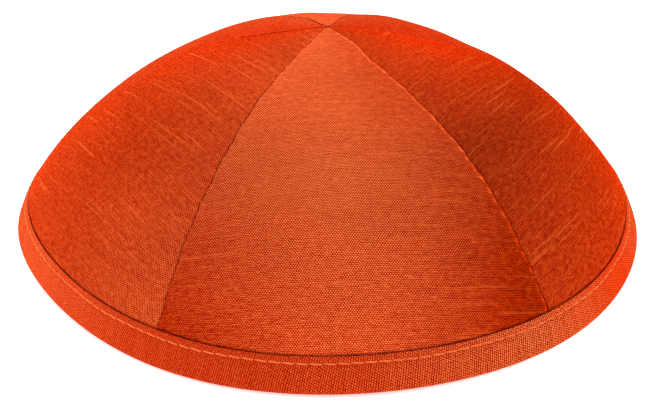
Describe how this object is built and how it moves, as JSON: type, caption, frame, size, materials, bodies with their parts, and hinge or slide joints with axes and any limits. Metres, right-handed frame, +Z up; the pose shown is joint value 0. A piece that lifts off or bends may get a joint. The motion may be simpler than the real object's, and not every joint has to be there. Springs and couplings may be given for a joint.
{
  "type": "kippah",
  "caption": "Shallow round skullcap of sewn silk gores, with a folded rim binding, a white satin lining and a small spring clip inside at the back.",
  "frame": {"origin": "centre of the rim, on the surface that the cap rests on", "axes": "+Z up through the top of the crown, +Y towards the clip at the back, -Y towards the front, seams at 0, 60, 120, 180, 240 and 300 degrees from +X"},
  "size_m": [0.1648, 0.1648, 0.044],
  "materials": {
    "orange_silk": "slubbed plain-weave silk with a soft sheen along the weft, which turns with each gore",
    "orange_binding": "the same silk, folded and topstitched, with fine ribs across the strip",
    "white_satin": "smooth white lining satin",
    "white_tab": "white woven tab with sewn edges",
    "nickel_steel": "nickel-plated pressed steel"
  },
  "bodies": {
    "cap": {"crown_panel_1": "orange_silk", "crown_panel_2": "orange_silk", "crown_panel_3": "orange_silk", "crown_panel_4": "orange_silk", "crown_panel_5": "orange_silk", "crown_panel_6": "orange_silk", "lining_panel_1": "white_satin", "lining_panel_2": "white_satin", "lining_panel_3": "white_satin", "lining_panel_4": "white_satin", "lining_panel_5": "white_satin", "lining_panel_6": "white_satin", "rim_binding": "orange_binding", "clip_tab": "white_tab", "clip_base": "nickel_steel", "clip_pin": "nickel_steel", "clip_spring": "nickel_steel"},
    "lever": {"clip_lever": "nickel_steel"}
  },
  "joints": [
    {"name": "clip_hinge", "type": "hinge", "parent": "cap", "child": "lever", "pos_m": [0, 0.06426, 0.00973], "axis": [1, 0, 0], "range_deg": [0, 18], "stiffness_Nm_per_rad": 0.01, "springref_deg": -28.65}
  ]
}
